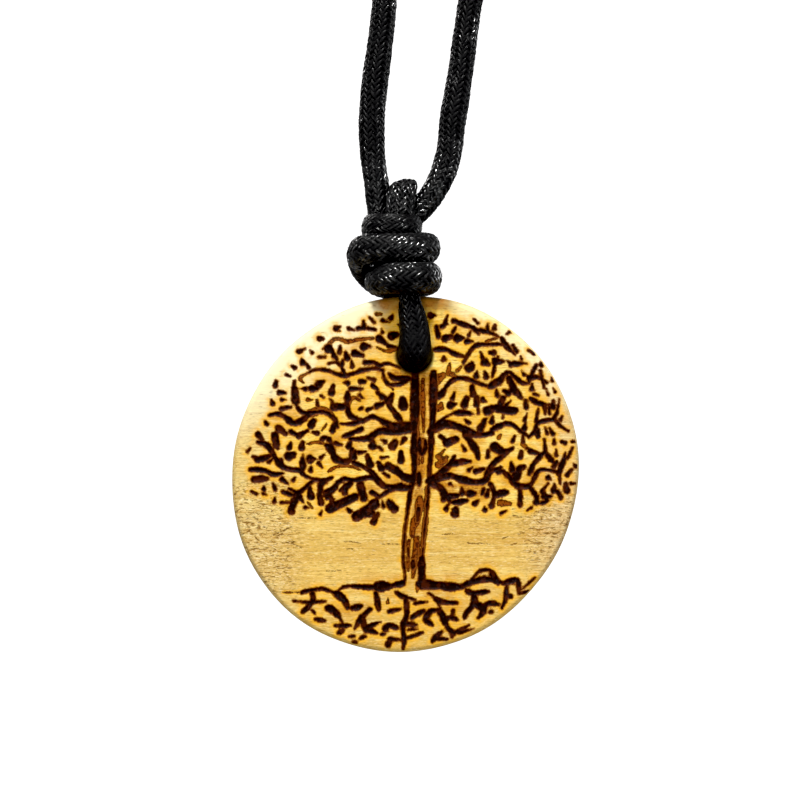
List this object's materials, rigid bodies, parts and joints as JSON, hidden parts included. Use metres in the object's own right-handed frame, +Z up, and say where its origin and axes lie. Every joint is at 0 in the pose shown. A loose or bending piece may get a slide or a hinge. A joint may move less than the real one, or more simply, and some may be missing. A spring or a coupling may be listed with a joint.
{
  "type": "tree of life pendant",
  "caption": "Round wooden pendant with a burned tree, tied on a braided black cord that hangs in a loop from its clasp.",
  "frame": {"origin": "the nape: the inner side of the clasp, at its middle, where the loop hangs", "axes": "+Z up, +X to the right seen from the front, front facing -Y"},
  "size_m": [0.1355, 0.0128, 0.2169],
  "materials": {
    "burned_wood": "sanded pale wood with a burned tree",
    "black_cord": "waxed, braided, black",
    "clasp_steel": "satin steel"
  },
  "bodies": {
    "root": {"wood_disc": "burned_wood", "hanging_loop": "black_cord", "lower_wrap": "black_cord", "upper_wrap": "black_cord", "collar_wrap": "black_cord", "top_bight": "black_cord", "cord_left": "black_cord", "cord_right": "black_cord", "clasp": "clasp_steel"}
  },
  "joints": []
}
